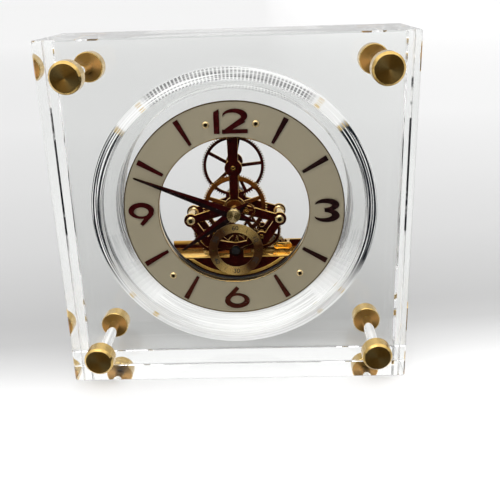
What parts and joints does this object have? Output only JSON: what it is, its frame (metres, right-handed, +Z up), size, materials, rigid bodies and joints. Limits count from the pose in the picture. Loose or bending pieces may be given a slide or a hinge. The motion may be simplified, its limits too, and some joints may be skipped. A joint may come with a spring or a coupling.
{
  "type": "skeleton mantel clock",
  "caption": "Square clear-acrylic mantel clock: thick slabs clamped by turned brass knobs hold a ring dial around an open gear train with hands and a seconds ring",
  "frame": {"origin": "middle of the base on the surface it stands on, under the joint between the two slabs", "axes": "X to the right seen from the front, Y to the back, Z up"},
  "size_m": [0.2032, 0.083, 0.2032],
  "materials": {
    "clear_acrylic": "clear polished acrylic",
    "turned_brass": "turned satin brass with fine lathe rings",
    "satin_dial": "satin champagne silver",
    "gold": "polished gold plate",
    "maroon": "polished, mirror dark",
    "polished_gold": "mirror polished gold plate",
    "satin_brass": "satin brass",
    "black_plastic": "moulded",
    "nickel": "nickel plate",
    "battery_case": "plain printed can",
    "coil_tape": "amber tape over the winding",
    "board": "solder mask"
  },
  "bodies": {
    "case": {"front_slab": "clear_acrylic", "rear_slab": "clear_acrylic", "carrier_disc": "clear_acrylic", "rear_knobs": "turned_brass", "clamp_studs": "turned_brass", "dial_plate": "satin_dial", "dial_rims": "gold", "numerals": "maroon", "hour_batons": "maroon", "dial_screws": "gold", "movement_ring": "satin_dial", "segment_trim": "gold", "front_bridge": "polished_gold", "bridge_screws": "gold", "rear_plate": "polished_gold", "pillars": "gold", "pillar_screws": "gold", "bushes": "gold", "seconds_ring": "satin_brass", "seconds_posts": "gold", "base_shelf": "polished_gold", "battery_box": "black_plastic", "battery_contacts": "nickel", "motion_stud": "gold", "idler_stud": "gold", "rotor_cock": "polished_gold", "stator": "nickel", "coil": "coil_tape", "circuit_board": "board"},
    "minute": {"minute_shaft": "gold", "hand_cap": "turned_brass", "minute_hand": "maroon", "setting_knob": "black_plastic"},
    "hour": {"hour_wheel": "polished_gold", "hour_hand": "maroon"},
    "motion": {"motion_wheel": "polished_gold"},
    "centre": {"centre_wheel": "polished_gold"},
    "upper": {"upper_wheel": "polished_gold"},
    "third": {"third_wheel": "polished_gold"},
    "seconds": {"seconds_wheel": "polished_gold", "seconds_hub": "black_plastic", "seconds_hand": "maroon"},
    "idler": {"idler_wheel": "polished_gold"},
    "intermediate": {"intermediate_wheel": "polished_gold"},
    "rotor": {"rotor": "nickel"},
    "battery": {"battery": "battery_case"},
    "knob_1": {"front_knob_1": "turned_brass"},
    "knob_2": {"front_knob_2": "turned_brass"},
    "knob_3": {"front_knob_3": "turned_brass"},
    "knob_4": {"front_knob_4": "turned_brass"}
  },
  "joints": [
    {"name": "minute_turn", "type": "hinge", "parent": "case", "child": "minute", "pos_m": [0, 0, 0.1016], "axis": [0, 1, 0], "continuous": true},
    {"name": "hour_turn", "type": "hinge", "parent": "case", "child": "hour", "pos_m": [0, 0, 0.1016], "axis": [0, 1, 0], "continuous": true},
    {"name": "motion_turn", "type": "hinge", "parent": "case", "child": "motion", "pos_m": [0.0069, 0, 0.09955], "axis": [0, 1, 0], "continuous": true},
    {"name": "intermediate_turn", "type": "hinge", "parent": "case", "child": "intermediate", "pos_m": [0.01582, 0, 0.08248], "axis": [0, 1, 0], "continuous": true},
    {"name": "rotor_turn", "type": "hinge", "parent": "case", "child": "rotor", "pos_m": [0.02547, 0, 0.0729], "axis": [0, 1, 0], "continuous": true},
    {"name": "idler_turn", "type": "hinge", "parent": "case", "child": "idler", "pos_m": [0.00977, 0, 0.07985], "axis": [0, 1, 0], "continuous": true},
    {"name": "seconds_turn", "type": "hinge", "parent": "case", "child": "seconds", "pos_m": [0, 0, 0.0756], "axis": [0, 1, 0], "continuous": true},
    {"name": "third_turn", "type": "hinge", "parent": "case", "child": "third", "pos_m": [-0.0127, 0, 0.08413], "axis": [0, 1, 0], "continuous": true},
    {"name": "centre_turn", "type": "hinge", "parent": "case", "child": "centre", "pos_m": [0, 0, 0.1016], "axis": [0, 1, 0], "continuous": true},
    {"name": "upper_turn", "type": "hinge", "parent": "case", "child": "upper", "pos_m": [0, 0, 0.1256], "axis": [0, 1, 0], "continuous": true},
    {"name": "knob_1_turn", "type": "hinge", "parent": "case", "child": "knob_1", "pos_m": [-0.0833, 0, 0.1849], "axis": [0, 1, 0], "continuous": true},
    {"name": "knob_2_turn", "type": "hinge", "parent": "case", "child": "knob_2", "pos_m": [-0.0833, 0, 0.0183], "axis": [0, 1, 0], "continuous": true},
    {"name": "knob_3_turn", "type": "hinge", "parent": "case", "child": "knob_3", "pos_m": [0.0833, 0, 0.1849], "axis": [0, 1, 0], "continuous": true},
    {"name": "knob_4_turn", "type": "hinge", "parent": "case", "child": "knob_4", "pos_m": [0.0833, 0, 0.0183], "axis": [0, 1, 0], "continuous": true},
    {"name": "battery_pull", "type": "slide", "parent": "case", "child": "battery", "axis": [0, 1, 0], "range_m": [0, 0.045]}
  ],
  "couplings": [
    {"joint": "hour_turn", "follows": "minute_turn", "ratio": 0.083333},
    {"joint": "motion_turn", "follows": "minute_turn", "ratio": -0.33333},
    {"joint": "rotor_turn", "follows": "intermediate_turn", "ratio": -7.5},
    {"joint": "idler_turn", "follows": "intermediate_turn", "ratio": -0.25714},
    {"joint": "seconds_turn", "follows": "intermediate_turn", "ratio": 0.25},
    {"joint": "third_turn", "follows": "intermediate_turn", "ratio": -0.033333},
    {"joint": "centre_turn", "follows": "intermediate_turn", "ratio": 0.0041667},
    {"joint": "upper_turn", "follows": "intermediate_turn", "ratio": -0.016667}
  ]
}
